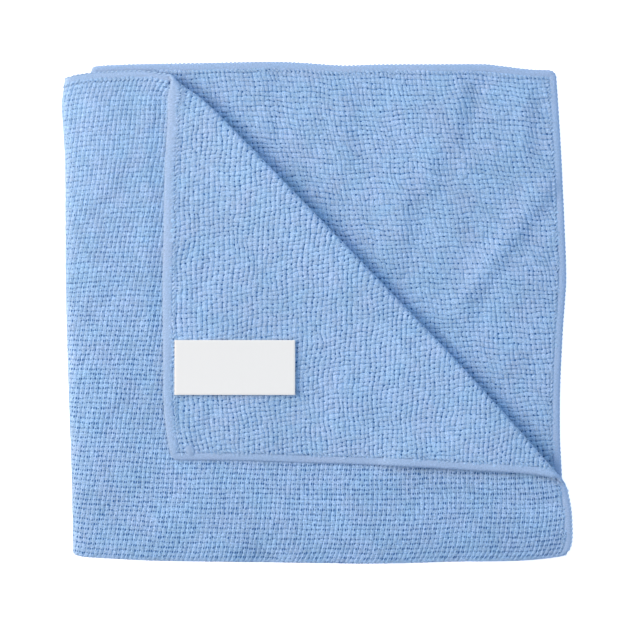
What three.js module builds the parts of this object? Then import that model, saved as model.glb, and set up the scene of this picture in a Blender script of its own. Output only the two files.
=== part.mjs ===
// A square microfibre cloth folded in quarters. The open corner of its top layer is turned back
// along a diagonal, which shows the inner face and the small ribbon label sewn beside the hem.
//
// Millimetres, +Z up. The origin is the middle of the folded cloth's footprint, on the surface that
// it lies on. The folds are on the -X and -Y sides, and the hems are on the +X and +Y sides.
//
// A point of the flat cloth is (s, t), measured from its centre: s runs across and t runs up. The
// quarter with s and t positive becomes the top layer, and the one below it in the stack has s
// positive and t negative. The outer face of the cloth is up in the top layer.

import * as THREE from 'three';

// ---- Driving sizes ----

const CLOTH_SIDE = 400;
const THICKNESS = 1.5;
const LAYER_GAP = 0.5;
const CORNER_RADIUS = 2.5;
const RIM_ROUNDING = 0.5;

const FLAP_FOLD_RADIUS = 1.4;
const FLAP_SETTLE_LENGTH = 12;
const FLAP_FOLD_PUFF = 0.8;
const FLAP_PUFF_LENGTH = 14;
const FLAP_BOW_FADE = 90;

const LABEL_LENGTH = 48.8;
const LABEL_WIDTH = 22.2;
const LABEL_THICKNESS = 0.6;
const LABEL_GAP = 0.3;
const LABEL_FREE_END_LIFT = 0.5;
const LABEL_CENTRE = { x: -32.7, y: -22 };

const LONGEST_CELL = 13;
const EDGE_STRIP = 4;
const FOLD_STEPS = 6;

const HALF_SIDE = CLOTH_SIDE / 2;
const HALF_THICKNESS = THICKNESS / 2;
const LAYER_STEP = THICKNESS + LAYER_GAP;

// The first fold runs along t = 0 and makes a double strip. The second runs along s = 0 and bends
// that strip, so its two sheets turn on radii one layer step apart.
const FIRST_FOLD_RADIUS = LAYER_STEP / 2;
const FIRST_FOLD_REACH = FIRST_FOLD_RADIUS * Math.PI / 2;
const STRIP_RADIUS = LAYER_STEP;
const SECOND_FOLD_REACH = (STRIP_RADIUS + FIRST_FOLD_RADIUS) * Math.PI / 2;
const STACK_MIDDLE = HALF_THICKNESS + STRIP_RADIUS + FIRST_FOLD_RADIUS;
const STACK_HEIGHT = 2 * STACK_MIDDLE;

// ---- Edges: where the folds and the hems lie, in mm ----

// Each table gives an edge's place across the table at some places along the cloth. The rows with t
// or s below 0 are for the layers under the fold.
const OUTER_LEFT_FOLD = {
  t: [0, 20, 40, 60, 85, 115, 165, 180, 189, 195, 200],
  x: [-98.8, -99.1, -99.6, -100.3, -101.1, -101.8, -102.1, -102.9, -103.4, -102.7, -102.1],
};
const INNER_LEFT_FOLD = {
  t: [-200, -194, -150, -80, 0],
  x: [-90.9, -92.3, -94, -96.5, -98.8],
};
const BOTTOM_FOLD = {
  s: [0, 3, 7, 20, 35, 60, 95, 125, 156, 180, 192, 200],
  y: [-97.6, -98.4, -99.1, -99.9, -100.6, -101, -101.6, -101.9, -101.1, -100.8, -99.9, -98.6],
};
const TOP_LAYER_RIGHT_HEM = {
  t: [0, 3, 7, 13, 20, 27, 34, 42, 51, 70, 94, 120, 171, 200],
  x: [101, 102.8, 103.5, 103.4, 102.9, 101.6, 99.6, 98.4, 97.9, 97.6, 96.9, 96.5, 96.2, 96.9],
};
const SECOND_LAYER_RIGHT_HEM = {
  t: [-200, -185, -161, -136, -115, -104, -93, -68, -50, -31, -6, 0],
  x: [97.3, 98.3, 99.7, 100.8, 101.5, 100.9, 100.1, 99, 98.9, 99.8, 100.2, 101],
};
const TOP_LAYER_TOP_HEM = {
  s: [0, 4, 10, 24, 40, 55, 80, 104, 128, 160, 177, 189, 200],
  y: [95.1, 96, 96.9, 97.7, 97.9, 97.7, 98.3, 97.6, 96.9, 95.4, 94.6, 93, 90.6],
};
const SECOND_LAYER_TOP_HEM = {
  s: [0, 8, 21, 50, 79, 92, 105, 112, 124, 150, 170, 176, 189, 196, 200],
  y: [99.7, 100.4, 100.9, 101.4, 101.9, 101.5, 100.6, 100.4, 100.8, 100.9, 100.9, 100.3, 98.8, 98.6,
    98.3],
};
// The two lowest layers end a little inside the layers above them.
const HIDDEN_RIGHT_HEM = {
  t: [-200, -100, 0, 100, 200],
  x: [95.6, 98.6, 98.8, 98.2, 95.2],
};
const THIRD_LAYER_TOP_HEM = {
  s: [-200, -100, -12, 0],
  y: [97, 99, 99.5, 99.7],
};
const LOWEST_LAYER_TOP_HEM = {
  s: [-200, -100, -20, 0],
  y: [95, 97, 96.5, 95.1],
};

// ---- The turned-back corner ----

// Its folded edge is bowed outward between these two ends.
const FLAP_FOLD_START = new THREE.Vector2(-57, 94.4);
const FLAP_FOLD_END = new THREE.Vector2(97.7, -65.5);
const FLAP_BOW = {
  along: [0, 6, 12, 24, 150, 176, 197, 213, 222],
  out: [0.2, 1.2, 2, 2.6, 2.6, 2, 1.2, 0.5, 0.1],
};
const FLAP_FOLD_ALONG = FLAP_FOLD_END.clone().sub(FLAP_FOLD_START).normalize();
const FLAP_FOLD_OUT = new THREE.Vector2(-FLAP_FOLD_ALONG.y, FLAP_FOLD_ALONG.x);
const FLAP_TURN_LENGTH = FLAP_FOLD_RADIUS * Math.PI;

// ---- Soft ridges that press up through the layers ----

const RIDGES = [
  { from: [93, 46], to: [61, -2], height: 0.9, width: 8 },
  { from: [54, 84], to: [34, 42], height: 0.6, width: 10 },
  { from: [-90, 78], to: [-84, 58], height: 0.5, width: 12 },
  { from: [-84, 4], to: [-92, -22], height: 0.5, width: 13 },
  { from: [-60, -84], to: [-10, -78], height: 0.5, width: 12 },
  { from: [40, -88], to: [74, -80], height: 0.4, width: 12 },
  { from: [-30, 62], to: [-12, 30], height: 0.5, width: 14 },
];

// ---- Small helpers ----

/** The height at `where` of a smooth curve through the rows of a two-column table. */
function through(at, values, where) {
  const last = at.length - 1;
  if (where <= at[0]) return values[0];
  if (where >= at[last]) return values[last];
  const row = at.findLastIndex((knot) => knot <= where);
  const slope = (i) => {
    const before = Math.max(i - 1, 0);
    const after = Math.min(i + 1, last);
    return (values[after] - values[before]) / (at[after] - at[before]);
  };
  const span = at[row + 1] - at[row];
  const f = (where - at[row]) / span;
  const rise = f * f * (3 - 2 * f);
  return values[row] * (1 - rise) + values[row + 1] * rise
    + slope(row) * span * f * (1 - f) * (1 - f)
    - slope(row + 1) * span * f * f * (1 - f);
}

/**
 * The path of a sheet through a half-circle fold, `reach` mm of cloth to each side of it. Returns how
 * far a point lies in from the fold's outermost line, and how far above or below its middle.
 */
function roundFold(distance, radius, reach) {
  const turn = Math.min(Math.abs(distance) / reach, 1) * Math.PI / 2;
  const flatPart = Math.max(Math.abs(distance) - reach, 0);
  return {
    inward: radius * (1 - Math.cos(turn)) + flatPart,
    rise: Math.sign(distance) * radius * Math.sin(turn),
  };
}

/** Draws in the corners of the square cloth to a small radius. */
function roundCorners(s, t) {
  const inner = HALF_SIDE - CORNER_RADIUS;
  const overS = Math.abs(s) - inner;
  const overT = Math.abs(t) - inner;
  if (overS <= 0 || overT <= 0) return [s, t];
  const shrink = Math.max(overS, overT) / Math.hypot(overS, overT);
  return [Math.sign(s) * (inner + overS * shrink), Math.sign(t) * (inner + overT * shrink)];
}

/** How far the ridges lift the top of the stack at a place on it. */
function ridgeLift(x, y) {
  let lift = 0;
  for (const { from, to, height, width } of RIDGES) {
    const run = [to[0] - from[0], to[1] - from[1]];
    const dot = (x - from[0]) * run[0] + (y - from[1]) * run[1];
    const f = THREE.MathUtils.clamp(dot / (run[0] ** 2 + run[1] ** 2), 0, 1);
    const away = Math.hypot(x - from[0] - f * run[0], y - from[1] - f * run[1]);
    lift += height * Math.exp(-((away / width) ** 2));
  }
  return lift;
}

/** Lifts a point by the ridges under it, less the nearer it lies to the table. */
function liftByRidges(point) {
  point.z += ridgeLift(point.x, point.y) * point.z / STACK_HEIGHT;
  return point;
}

// ---- The folds ----

/** Folds the flat cloth in quarters: the middle of the sheet at (s, t), before the corner is turned. */
function foldInQuarters(s, t) {
  const first = roundFold(t, FIRST_FOLD_RADIUS, FIRST_FOLD_REACH);
  const radius = STRIP_RADIUS + first.rise;
  const second = roundFold(s, radius, SECOND_FOLD_REACH);

  const leftFold = t >= 0 ? OUTER_LEFT_FOLD : INNER_LEFT_FOLD;
  const upperRightHem = t >= 0 ? TOP_LAYER_RIGHT_HEM : SECOND_LAYER_RIGHT_HEM;
  const rightHem = s >= 0 ? upperRightHem : HIDDEN_RIGHT_HEM;
  const upperTopHem = t >= 0 ? TOP_LAYER_TOP_HEM : SECOND_LAYER_TOP_HEM;
  const lowerTopHem = t >= 0 ? LOWEST_LAYER_TOP_HEM : THIRD_LAYER_TOP_HEM;
  const topHem = s >= 0 ? upperTopHem : lowerTopHem;
  const left = through(leftFold.t, leftFold.x, t) + HALF_THICKNESS;
  const right = through(rightHem.t, rightHem.x, t);
  const bottom = through(BOTTOM_FOLD.s, BOTTOM_FOLD.y, Math.abs(s)) + HALF_THICKNESS;
  const top = through(topHem.s, topHem.y, s);

  const fullWidth = radius + HALF_SIDE - SECOND_FOLD_REACH;
  const fullHeight = FIRST_FOLD_RADIUS + HALF_SIDE - FIRST_FOLD_REACH;
  return new THREE.Vector3(
    left + second.inward * (right - left) / fullWidth,
    bottom + first.inward * (top - bottom) / fullHeight,
    STACK_MIDDLE + second.rise,
  );
}

/** How far a point of the top layer lies past the line where the corner starts to turn back. */
function pastFlapFold(point) {
  const fromStart = new THREE.Vector2(point.x, point.y).sub(FLAP_FOLD_START);
  return fromStart.dot(FLAP_FOLD_OUT) + FLAP_FOLD_RADIUS + HALF_THICKNESS;
}

/** Turns the corner of the top layer back over it, and bows its folded edge. */
function turnCornerBack(point) {
  const past = pastFlapFold(point);
  const turn = THREE.MathUtils.clamp(past / FLAP_FOLD_RADIUS, 0, Math.PI);
  const onFlap = Math.max(past - FLAP_TURN_LENGTH, 0);
  const fromFold = past > 0 ? onFlap : -past;

  const along = new THREE.Vector2(point.x, point.y).sub(FLAP_FOLD_START).dot(FLAP_FOLD_ALONG);
  const bowFade = Math.max(1 - fromFold / FLAP_BOW_FADE, 0) ** 2;
  const bow = through(FLAP_BOW.along, FLAP_BOW.out, along) * bowFade;
  const outward = FLAP_FOLD_RADIUS * Math.sin(turn) - onFlap - Math.max(past, 0) + bow;

  const openRise = FLAP_FOLD_RADIUS * (1 - Math.cos(turn));
  const settled = 1 - Math.exp(-((onFlap / FLAP_SETTLE_LENGTH) ** 2));
  const settle = (2 * FLAP_FOLD_RADIUS - LAYER_STEP) * settled;
  const puff = FLAP_FOLD_PUFF * Math.exp(-((fromFold / FLAP_PUFF_LENGTH) ** 2));

  point.x += FLAP_FOLD_OUT.x * outward;
  point.y += FLAP_FOLD_OUT.y * outward;
  point.z += openRise - settle + puff;
  return point;
}

/** Where the middle of the sheet at (s, t) lies in the folded cloth. */
function clothPoint(flatS, flatT) {
  const [s, t] = roundCorners(flatS, flatT);
  const point = foldInQuarters(s, t);
  const isTopLayer = s > SECOND_FOLD_REACH && t > FIRST_FOLD_REACH;
  return liftByRidges(isTopLayer ? turnCornerBack(point) : point);
}

// ---- Cells of the flat cloth ----

/** Grid lines in one direction: close round the fold, a strip beside it and at the hem, and even between. */
function gridLines(reach) {
  const lines = [];
  for (let i = 1; i <= FOLD_STEPS / 2; i += 1) lines.push(reach * i / (FOLD_STEPS / 2));
  const start = reach + EDGE_STRIP;
  const end = HALF_SIDE - EDGE_STRIP;
  const plain = Math.ceil((end - start) / LONGEST_CELL);
  for (let i = 0; i <= plain; i += 1) lines.push(start + (end - start) * i / plain);
  lines.push(HALF_SIDE);
  return [...lines.map((line) => -line).reverse(), 0, ...lines];
}

/** Splits a convex cell along the line where its corners' `past` values cross a level. */
function splitCell(cell, level) {
  const nearer = [];
  const further = [];
  cell.forEach((corner, i) => {
    const next = cell[(i + 1) % cell.length];
    if (corner.past <= level) nearer.push(corner);
    if (corner.past >= level) further.push(corner);
    if ((corner.past - level) * (next.past - level) < 0) {
      const f = (level - corner.past) / (next.past - corner.past);
      const crossing = {
        s: corner.s + (next.s - corner.s) * f,
        t: corner.t + (next.t - corner.t) * f,
        past: level,
      };
      nearer.push(crossing);
      further.push(crossing);
    }
  });
  return [nearer, further].filter((part) => part.length > 2);
}

/** The flat cloth as convex cells, with extra cuts through the top layer where its corner turns. */
function clothCells() {
  const columns = gridLines(SECOND_FOLD_REACH);
  const rows = gridLines(FIRST_FOLD_REACH);
  const levels = [];
  for (let i = 0; i <= FOLD_STEPS; i += 1) levels.push(FLAP_TURN_LENGTH * i / FOLD_STEPS);
  const snap = FLAP_TURN_LENGTH / FOLD_STEPS / 4;

  const corner = (s, t) => {
    const past = s > 0 && t > 0 ? pastFlapFold(foldInQuarters(s, t)) : -Infinity;
    const level = levels.find((value) => Math.abs(value - past) < snap);
    return { s, t, past: level ?? past };
  };
  const cells = [];
  for (let i = 0; i + 1 < columns.length; i += 1) {
    for (let j = 0; j + 1 < rows.length; j += 1) {
      let parts = [[
        corner(columns[i], rows[j]),
        corner(columns[i + 1], rows[j]),
        corner(columns[i + 1], rows[j + 1]),
        corner(columns[i], rows[j + 1]),
      ]];
      for (const level of levels) parts = parts.flatMap((part) => splitCell(part, level));
      cells.push(...parts);
    }
  }
  return cells;
}

/** A plain grid of cells over a rectangle centred on (0, 0). */
function rectangleCells(length, width, columns, rows) {
  const cells = [];
  const corner = (i, j) => ({ s: length * (i / columns - 0.5), t: width * (j / rows - 0.5) });
  for (let i = 0; i < columns; i += 1) {
    for (let j = 0; j < rows; j += 1) {
      cells.push([corner(i, j), corner(i + 1, j), corner(i + 1, j + 1), corner(i, j + 1)]);
    }
  }
  return cells;
}

// ---- From cells to a closed sheet ----

/** The unit normal of a sheet whose middle is `place`, from two short steps along it. */
function sheetNormal(place, s, t) {
  const step = 0.01;
  const alongS = place(s + step, t).sub(place(s - step, t));
  const alongT = place(s, t + step).sub(place(s, t - step));
  return alongS.cross(alongT).normalize();
}

/** A closed solid: the cells laid out by `place`, given a thickness and a rounded rim. */
function sheetSolid(cells, place, thickness, rimRounding) {
  const indexOf = new Map();
  const flat = [];
  const polygons = cells.map((cell) => cell.map(({ s, t }) => {
    const key = `${s.toFixed(3)},${t.toFixed(3)}`;
    if (!indexOf.has(key)) {
      indexOf.set(key, flat.length);
      flat.push([s, t]);
    }
    return indexOf.get(key);
  }).filter((index, i, all) => index !== all[(i + 1) % all.length]));

  const directed = new Set();
  for (const polygon of polygons) {
    polygon.forEach((from, i) => directed.add(`${from}>${polygon[(i + 1) % polygon.length]}`));
  }
  const rimEdges = [...directed]
    .map((key) => key.split('>').map(Number))
    .filter(([from, to]) => !directed.has(`${to}>${from}`));

  const limitS = Math.max(...flat.map(([s]) => s)) - rimRounding;
  const limitT = Math.max(...flat.map(([, t]) => t)) - rimRounding;
  const face = (side) => flat.map(([s, t]) => {
    const insetS = THREE.MathUtils.clamp(s, -limitS, limitS);
    const insetT = THREE.MathUtils.clamp(t, -limitT, limitT);
    const normal = sheetNormal(place, insetS, insetT);
    return place(insetS, insetT).addScaledVector(normal, side * thickness / 2);
  });
  const outer = face(1);
  const inner = face(-1);
  const rimStart = new Map();
  const rim = [];
  for (const [from] of rimEdges) {
    rimStart.set(from, outer.length * 2 + rim.length);
    rim.push(place(...flat[from]));
  }

  const triangles = [];
  for (const polygon of polygons) {
    for (let i = 1; i + 1 < polygon.length; i += 1) {
      const [a, b, c] = [polygon[0], polygon[i], polygon[i + 1]];
      triangles.push([a, b, c], [a + outer.length, c + outer.length, b + outer.length]);
    }
  }
  for (const [from, to] of rimEdges) {
    const [rimFrom, rimTo] = [rimStart.get(from), rimStart.get(to)];
    triangles.push([from, rimFrom, rimTo], [from, rimTo, to]);
    triangles.push([rimFrom, from + outer.length, to + outer.length]);
    triangles.push([rimFrom, to + outer.length, rimTo]);
  }

  const geometry = new THREE.BufferGeometry().setFromPoints([...outer, ...inner, ...rim]);
  geometry.setIndex(triangles.flat());
  geometry.computeVertexNormals();
  return geometry;
}

// ---- The pieces ----

function makeCloth() {
  const geometry = sheetSolid(clothCells(), clothPoint, THICKNESS, RIM_ROUNDING);
  const material = new THREE.MeshStandardMaterial({ color: 0x91b4dd, roughness: 0.95, metalness: 0 });
  const mesh = new THREE.Mesh(geometry, material);
  mesh.name = 'cloth';
  return mesh;
}

/** The label lies along the turned-back corner, held at its left end and a little lifted at the right. */
function labelPoint(s, t) {
  const flapTop = STACK_HEIGHT + LAYER_STEP;
  const freeEnd = THREE.MathUtils.clamp(s / LABEL_LENGTH + 0.5, 0, 1);
  const point = new THREE.Vector3(LABEL_CENTRE.x + s, LABEL_CENTRE.y + t, flapTop);
  liftByRidges(point);
  point.z += LABEL_GAP + LABEL_THICKNESS / 2 + LABEL_FREE_END_LIFT * freeEnd ** 2;
  return point;
}

function makeLabel() {
  const cells = rectangleCells(LABEL_LENGTH, LABEL_WIDTH, 10, 4);
  const geometry = sheetSolid(cells, labelPoint, LABEL_THICKNESS, 0);
  const material = new THREE.MeshStandardMaterial({ color: 0xececee, roughness: 0.6, metalness: 0 });
  const mesh = new THREE.Mesh(geometry, material);
  mesh.name = 'label';
  return mesh;
}

const group = new THREE.Group();
group.add(makeCloth(), makeLabel());

export default group;
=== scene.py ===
# The looks of a microfibre cloth folded in quarters, with one corner turned back over it.
#
# The cloth is one thin folded sheet, the ground of the knit. The knit's loops, the overlocked hem and
# the label are pieces of their own on it. All of them are laid out on the flat cloth first, and one
# function then folds every point, so they keep their places round each fold.
#
# Sizes and places are in millimetres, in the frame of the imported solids, and turn into metres only
# when a mesh is made. A point of the flat cloth is (s, t), measured from its centre. The quarter with
# s and t positive is the top layer, whose outer face is up. The second layer has t negative.

import math

import bmesh
import bpy
import numpy as np
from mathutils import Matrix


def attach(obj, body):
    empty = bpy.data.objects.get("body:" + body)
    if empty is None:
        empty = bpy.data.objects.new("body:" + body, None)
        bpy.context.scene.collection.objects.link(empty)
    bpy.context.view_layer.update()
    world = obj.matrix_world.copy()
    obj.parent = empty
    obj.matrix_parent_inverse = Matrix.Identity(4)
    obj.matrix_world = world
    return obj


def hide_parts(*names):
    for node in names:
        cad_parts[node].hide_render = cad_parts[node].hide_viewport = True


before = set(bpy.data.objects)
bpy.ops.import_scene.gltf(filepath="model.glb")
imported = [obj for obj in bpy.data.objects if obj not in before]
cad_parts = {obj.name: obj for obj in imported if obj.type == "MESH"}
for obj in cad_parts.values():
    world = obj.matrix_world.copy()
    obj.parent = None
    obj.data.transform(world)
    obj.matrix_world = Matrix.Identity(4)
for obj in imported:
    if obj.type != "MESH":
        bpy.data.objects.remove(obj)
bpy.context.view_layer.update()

MM = 0.001
SEED = 7

# ---- The folded cloth, as in the solids ----

HALF_SIDE = 200
THICKNESS = 1.5
LAYER_GAP = 0.5
CORNER_RADIUS = 2.5

HALF_THICKNESS = THICKNESS / 2
LAYER_STEP = THICKNESS + LAYER_GAP
FIRST_FOLD_RADIUS = LAYER_STEP / 2
FIRST_FOLD_REACH = FIRST_FOLD_RADIUS * math.pi / 2
STRIP_RADIUS = LAYER_STEP
SECOND_FOLD_REACH = (STRIP_RADIUS + FIRST_FOLD_RADIUS) * math.pi / 2
STACK_MIDDLE = HALF_THICKNESS + STRIP_RADIUS + FIRST_FOLD_RADIUS
STACK_HEIGHT = 2 * STACK_MIDDLE

# Where the folds and the hems lie, by their place along the cloth.
OUTER_LEFT_FOLD = {
    "t": [0, 20, 40, 60, 85, 115, 165, 180, 189, 195, 200],
    "x": [-98.8, -99.1, -99.6, -100.3, -101.1, -101.8, -102.1, -102.9, -103.4, -102.7, -102.1],
}
INNER_LEFT_FOLD = {
    "t": [-200, -194, -150, -80, 0],
    "x": [-90.9, -92.3, -94, -96.5, -98.8],
}
BOTTOM_FOLD = {
    "s": [0, 3, 7, 20, 35, 60, 95, 125, 156, 180, 192, 200],
    "y": [-97.6, -98.4, -99.1, -99.9, -100.6, -101, -101.6, -101.9, -101.1, -100.8, -99.9, -98.6],
}
TOP_LAYER_RIGHT_HEM = {
    "t": [0, 3, 7, 13, 20, 27, 34, 42, 51, 70, 94, 120, 171, 200],
    "x": [101, 102.8, 103.5, 103.4, 102.9, 101.6, 99.6, 98.4, 97.9, 97.6, 96.9, 96.5, 96.2, 96.9],
}
SECOND_LAYER_RIGHT_HEM = {
    "t": [-200, -185, -161, -136, -115, -104, -93, -68, -50, -31, -6, 0],
    "x": [97.3, 98.3, 99.7, 100.8, 101.5, 100.9, 100.1, 99, 98.9, 99.8, 100.2, 101],
}
TOP_LAYER_TOP_HEM = {
    "s": [0, 4, 10, 24, 40, 55, 80, 104, 128, 160, 177, 189, 200],
    "y": [95.1, 96, 96.9, 97.7, 97.9, 97.7, 98.3, 97.6, 96.9, 95.4, 94.6, 93, 90.6],
}
SECOND_LAYER_TOP_HEM = {
    "s": [0, 8, 21, 50, 79, 92, 105, 112, 124, 150, 170, 176, 189, 196, 200],
    "y": [99.7, 100.4, 100.9, 101.4, 101.9, 101.5, 100.6, 100.4, 100.8, 100.9, 100.9, 100.3, 98.8,
          98.6, 98.3],
}
HIDDEN_RIGHT_HEM = {
    "t": [-200, -100, 0, 100, 200],
    "x": [95.6, 98.6, 98.8, 98.2, 95.2],
}
THIRD_LAYER_TOP_HEM = {
    "s": [-200, -100, -12, 0],
    "y": [97, 99, 99.5, 99.7],
}
LOWEST_LAYER_TOP_HEM = {
    "s": [-200, -100, -20, 0],
    "y": [95, 97, 96.5, 95.1],
}

# The turned-back corner: its folded edge runs between two ends, bowed outward. The fold stands a
# little off the layer under it, by a different height along its length, and settles away from there.
FLAP_FOLD_START = np.array([-57, 94.4])
FLAP_FOLD_END = np.array([97.7, -65.5])
FLAP_BOW = {
    "along": [0, 6, 12, 24, 150, 176, 197, 213, 222],
    "out": [0.4, 1.6, 2.5, 3.1, 3.1, 2.5, 1.7, 0.9, 0.4],
}
FLAP_FOLD_RADIUS = 1.4
FLAP_FOLD_SQUARENESS = 4
FLAP_SETTLE_LENGTH = 12
FLAP_PUFF = {
    "along": [0, 40, 90, 150, 185, 222],
    "up": [1.7, 1.7, 1.1, 0.5, 1.1, 2.2],
}
FLAP_PUFF_LENGTH = 18
# The thick hem doesn't fold sharply: it slides along the fold where the fold starts.
FLAP_START_SLIDE = 2.4
FLAP_SLIDE_REACH = 4
FLAP_SLIDE_FADE = 14
FLAP_BOW_FADE = 90
FLAP_FOLD_LENGTH = np.linalg.norm(FLAP_FOLD_END - FLAP_FOLD_START)
FLAP_FOLD_ALONG = (FLAP_FOLD_END - FLAP_FOLD_START) / FLAP_FOLD_LENGTH
FLAP_FOLD_OUT = np.array([-FLAP_FOLD_ALONG[1], FLAP_FOLD_ALONG[0]])
FLAP_TURN_LENGTH = FLAP_FOLD_RADIUS * math.pi
# The turned-back corner stands a little off the layer under it here, and lies closer there.
FLAP_RIDGES = [
    {"from": (40, -56), "to": (74, -57), "height": 1.5, "width": 11},
    {"from": (-60, -60), "to": (24, -61), "height": -0.9, "width": 4.5},
]

# Soft ridges that press up through the layers, and the troughs along the folds.
RIDGES = [
    {"from": (93, 46), "to": (61, -2), "height": 0.9, "width": 8},
    {"from": (54, 84), "to": (34, 42), "height": 0.6, "width": 10},
    {"from": (-90, 78), "to": (-84, 58), "height": 0.5, "width": 12},
    {"from": (-84, 4), "to": (-92, -22), "height": 0.5, "width": 13},
    {"from": (-60, -84), "to": (-10, -78), "height": 0.5, "width": 12},
    {"from": (40, -88), "to": (74, -80), "height": 0.4, "width": 12},
    {"from": (-30, 62), "to": (-12, 30), "height": 0.5, "width": 14},
    {"from": (-101, -90), "to": (-100, 92), "height": -1.0, "width": 6},
    {"from": (-20, -102), "to": (96, -102), "height": -2.6, "width": 10},
    {"from": (-92, -101), "to": (-20, -102), "height": -1.0, "width": 7},
]

# Smaller creases, where the cloth drops from the left-hand side of a line to its right-hand side.
CREASES = [
    {"from": (63, 4), "to": (97, 51), "drop": 2.6, "width": 5.5},
    {"from": (59, 72), "to": (62, 90), "drop": 1.9, "width": 5},
    {"from": (47, 50), "to": (50, 62), "drop": 1.5, "width": 5.5},
    {"from": (37, 34), "to": (39, 46), "drop": 1.8, "width": 5.5},
    {"from": (34, 21), "to": (39, 28), "drop": 1.2, "width": 6},
    {"from": (87, 67), "to": (88, 86), "drop": 1.4, "width": 5},
    {"from": (14, 66), "to": (15, 86), "drop": 1.2, "width": 6},
    {"from": (-18, 74), "to": (-18, 92), "drop": 1.0, "width": 5},
    {"from": (30, -69), "to": (92, -74), "drop": 1.5, "width": 6},
    {"from": (-65, -7), "to": (-65, 86), "drop": 0.8, "width": 4.5},
    {"from": (-95, 37), "to": (-81, 52), "drop": 0.7, "width": 4.5},
    {"from": (-99, -7), "to": (-85, 9), "drop": 0.7, "width": 4.5},
    {"from": (-87, -47), "to": (-75, -29), "drop": 0.8, "width": 5},
    {"from": (-52, 5), "to": (-45, 21), "drop": 0.5, "width": 4},
    {"from": (-50, -52), "to": (-44, -42), "drop": 0.5, "width": 4},
]

# ---- The knit, the hem and the label ----

WALE_PITCH = 1.84
COURSE_PITCH = 2.0
WALE_LEAN = 0.17
GROUND_HALF_THICKNESS = 0.18
GROUND_CELL = 2.6
GROUND_EDGE_INSET = 0.8
FOLD_STEPS = 8
FLAP_CUT_SPACING = 0.5
FLAP_CUT_MARGIN = 2.5
FLAP_CUT_SNAP = 0.02
FLAP_SEARCH_PLACES = 2000
# The knit starts this far in from the cloth's edge, under the hem. On the top layer it covers a strip
# by the left fold and one by the bottom fold. It runs on a little past the bottom fold, and into the
# fold of the turned-back corner and under it.
KNIT_INSET = 2.2
STRIP_WIDTH = 48
STRIP_HEIGHT = 45
KNIT_PAST_BOTTOM_FOLD = 2.5
KNIT_INTO_FLAP_FOLD = 0.5
KNIT_UNDER_FLAP = 5

HEM_WIDTH = 3.2
# The hem is wider along the half of one side that shows at the left of the turned-back corner.
HEM_EXTRA_WIDTH = 0.9
HEM_WIDE_SIDE = 1
HEM_WIDE_UNTIL = -0.2
HEM_NARROWS_IN = 0.15
HEM_HALF_HEIGHT = 0.75
HEM_SQUARENESS = 3
HEM_WRAP_PITCH = 1.8
HEM_WRAPS = round(2 * HALF_SIDE / HEM_WRAP_PITCH)
HEM_WRAP_STEPS = 4
HEM_RING_POINTS = 12
HEM_SCALLOP = 0.12
HEM_RIB_SWELL = 0.02
# Its thread shows as a row of short slanted stitches beside the hem on both faces, and as a row of
# beads, where the loops of thread meet, round the cloth's edge. A row lies `inset` further in than
# a number of hem widths from the edge.
HEM_STITCH = {
    "length": 1.4, "radius": 0.3, "slant": 0.7, "height": 0.76, "hem_widths": 1, "inset": 0.35,
}
EDGE_BEAD = {
    "length": 1.4, "radius": 0.36, "slant": 0.25, "height": -0.45, "hem_widths": 0, "inset": 0.06,
}
STITCH_SIDES = 6
# The end of the hem's thread chain: how far in its middle lies from the two edges at the corner,
# how far it reaches from there, and how high it stands.
TAIL_CENTRE = (3.8, 8.6)
TAIL_REACH = (2.3, 1.9)
TAIL_FOOT = 0.62
TAIL_RISE = 0.4
TAIL_RINGS = 6
TAIL_RING_POINTS = 14

LABEL_LENGTH = 48.8
LABEL_WIDTH = 22.2
LABEL_THICKNESS = 0.4
LABEL_CLEARANCE = 0.05
LABEL_FREE_END_LIFT = 0.7
LABEL_LOW_EDGE_LIFT = 0.6
LABEL_CENTRE = (-32.7, -22)
# Its rim is rounded: this wide, and this much of its thickness at the edge.
LABEL_RIM = 0.12
LABEL_RIM_THICKNESS = 0.6
LABEL_COLUMNS = 66
LABEL_ROWS = 30


# ---- Folding ----

def through(table, where):
    """The height, at each of `where`, of a smooth curve through the rows of a two-column table."""
    at, value = (np.array(column, float) for column in table.values())
    slope = np.empty_like(value)
    slope[1:-1] = (value[2:] - value[:-2]) / (at[2:] - at[:-2])
    slope[0] = (value[1] - value[0]) / (at[1] - at[0])
    slope[-1] = (value[-1] - value[-2]) / (at[-1] - at[-2])
    row = np.clip(np.searchsorted(at, where, side="right") - 1, 0, len(at) - 2)
    span = at[row + 1] - at[row]
    f = np.clip((where - at[row]) / span, 0, 1)
    rise = f * f * (3 - 2 * f)
    return (
        value[row] * (1 - rise) + value[row + 1] * rise
        + slope[row] * span * f * (1 - f) ** 2
        - slope[row + 1] * span * f * f * (1 - f)
    )


def round_fold(distance, radius, reach):
    """How far in from a fold's outermost line a point lies, and how far above the fold's middle."""
    turn = np.minimum(np.abs(distance) / reach, 1) * math.pi / 2
    flat_part = np.maximum(np.abs(distance) - reach, 0)
    inward = radius * (1 - np.cos(turn)) + flat_part
    return inward, np.sign(distance) * radius * np.sin(turn)


def round_corners(s, t):
    """Draws in the corners of the square cloth to a small radius."""
    inner = HALF_SIDE - CORNER_RADIUS
    over_s = np.abs(s) - inner
    over_t = np.abs(t) - inner
    in_corner = (over_s > 0) & (over_t > 0)
    longest = np.maximum(over_s, over_t)
    shrink = np.where(in_corner, longest / np.maximum(np.hypot(over_s, over_t), 1e-9), 1)
    new_s = np.where(in_corner, np.sign(s) * (inner + over_s * shrink), s)
    new_t = np.where(in_corner, np.sign(t) * (inner + over_t * shrink), t)
    return new_s, new_t


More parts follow.
